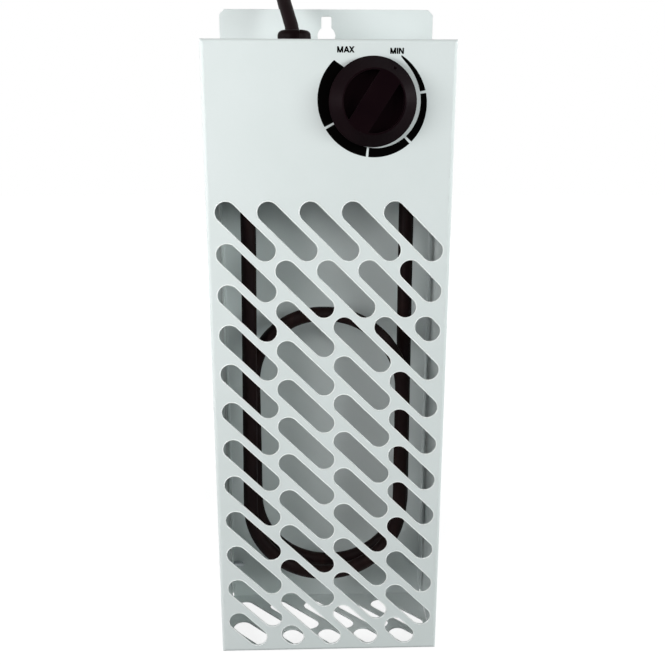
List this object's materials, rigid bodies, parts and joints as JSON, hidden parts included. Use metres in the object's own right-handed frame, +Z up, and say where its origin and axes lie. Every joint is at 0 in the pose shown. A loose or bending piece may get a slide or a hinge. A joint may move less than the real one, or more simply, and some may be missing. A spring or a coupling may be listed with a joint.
{
  "type": "frost protection heater",
  "caption": "Slim upright frost protection heater: folded white sheet casing with a diagonal slotted grille, a bent tubular element, a thermostat knob and a wall tab with a keyhole.",
  "frame": {"origin": "on the surface that the heater stands on, under the middle of its own box from the knob's face to the rear plate, without the lead", "axes": "+X to the right seen from the front, +Y from the front to the rear, +Z up"},
  "size_m": [0.1271, 0.2325, 0.3732],
  "materials": {
    "casing": "satin white powder coat",
    "zinc_steel": "zinc plated",
    "element_sheath": "dark oxidised steel sheath",
    "bead": "glazed ceramic bead",
    "brass": "plain",
    "knob_plastic": "black, fine moulded satin",
    "bushing_plastic": "black nylon",
    "housing_plastic": "dark phenolic",
    "block_plastic": "cream nylon",
    "cutout_metal": "stamped cup",
    "lead_rubber": "black rubber sheath",
    "plug_plastic": "black moulded plug",
    "tie_plastic": "black strap",
    "core_insulation": "brown, blue and green-yellow insulation",
    "brown_insulation": "brown insulation",
    "blue_insulation": "blue insulation",
    "green_insulation": "green-yellow insulation"
  },
  "bodies": {
    "case": {"front_cover": "casing", "rear_plate": "casing", "case_screws": "zinc_steel", "element_plate": "zinc_steel", "plate_rivets": "zinc_steel", "element_bushes": "zinc_steel", "element_nuts": "zinc_steel", "thermostat_plate": "zinc_steel", "thermostat_screws": "zinc_steel", "cutout_screws": "zinc_steel", "block_screw": "zinc_steel", "earth_stud": "zinc_steel", "earth_nut": "zinc_steel", "terminal_screws": "zinc_steel", "heating_element": "element_sheath", "element_insulators": "bead", "element_pins": "brass", "thermostat_tabs": "brass", "cutout_tabs": "brass", "earth_tag": "brass", "plug_pins": "brass", "plug_earth_clips": "brass", "strain_relief_body": "bushing_plastic", "strain_relief_wedge": "bushing_plastic", "thermostat_body": "housing_plastic", "terminal_block": "block_plastic", "thermal_cutout": "cutout_metal", "cord_inlet": "lead_rubber", "power_cord": "lead_rubber", "cord_coil": "lead_rubber", "cord_tail": "lead_rubber", "plug_body": "plug_plastic", "cord_tie": "tie_plastic", "cord_cores": "core_insulation", "live_wire": "brown_insulation", "switched_wire": "brown_insulation", "element_wire": "brown_insulation", "neutral_wire": "blue_insulation", "earth_wire": "green_insulation"},
    "knob": {"knob": "knob_plastic", "knob_clip": "zinc_steel", "thermostat_shaft": "zinc_steel"}
  },
  "joints": [
    {"name": "knob_turn", "type": "hinge", "parent": "case", "child": "knob", "pos_m": [0.0207, -0.022, 0.3035], "axis": [0, 1, 0], "range_deg": [0, 285]}
  ]
}
